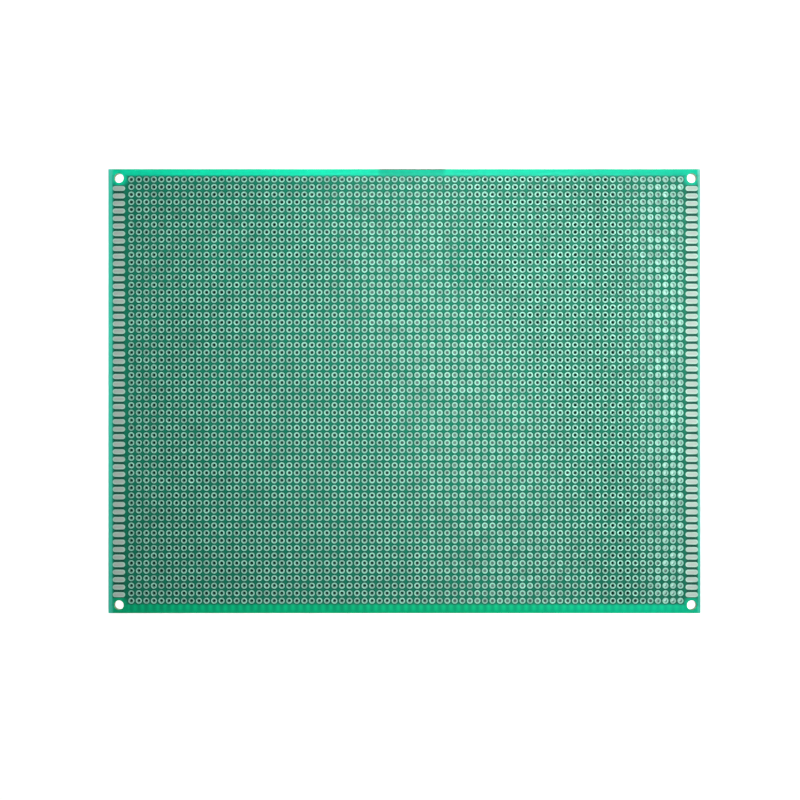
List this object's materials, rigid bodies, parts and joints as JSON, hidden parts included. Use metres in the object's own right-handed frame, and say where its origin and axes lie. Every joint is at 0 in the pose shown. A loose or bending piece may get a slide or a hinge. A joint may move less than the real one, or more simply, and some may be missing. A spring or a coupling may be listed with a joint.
{
  "type": "bare circuit board",
  "caption": "Flat rectangular prototype board with a grid of plated through holes, edge contacts at both short sides and corner mounting holes.",
  "frame": {"origin": "middle of the board's outline, at the lowest point of the tinned rings on the back face", "axes": "+X along the board's length, +Y across its width, +Z out of the front face"},
  "size_m": [0.2, 0.15, 0.0017],
  "materials": {
    "panel": "green solder mask on glass-epoxy laminate",
    "plated_holes": "tinned copper, satin",
    "contacts": "tinned copper, satin"
  },
  "bodies": {
    "root": {"panel": "panel", "plated_rows_01": "plated_holes", "plated_rows_02": "plated_holes", "plated_rows_03": "plated_holes", "plated_rows_04": "plated_holes", "plated_rows_05": "plated_holes", "plated_rows_06": "plated_holes", "plated_rows_07": "plated_holes", "plated_rows_08": "plated_holes", "plated_rows_09": "plated_holes", "plated_rows_10": "plated_holes", "plated_rows_11": "plated_holes", "plated_rows_12": "plated_holes", "plated_rows_13": "plated_holes", "plated_rows_14": "plated_holes", "plated_rows_15": "plated_holes", "plated_rows_16": "plated_holes", "plated_rows_17": "plated_holes", "plated_rows_18": "plated_holes", "plated_rows_19": "plated_holes", "front_left_contacts": "contacts", "front_right_contacts": "contacts", "back_left_contacts": "contacts", "back_right_contacts": "contacts"}
  },
  "joints": []
}
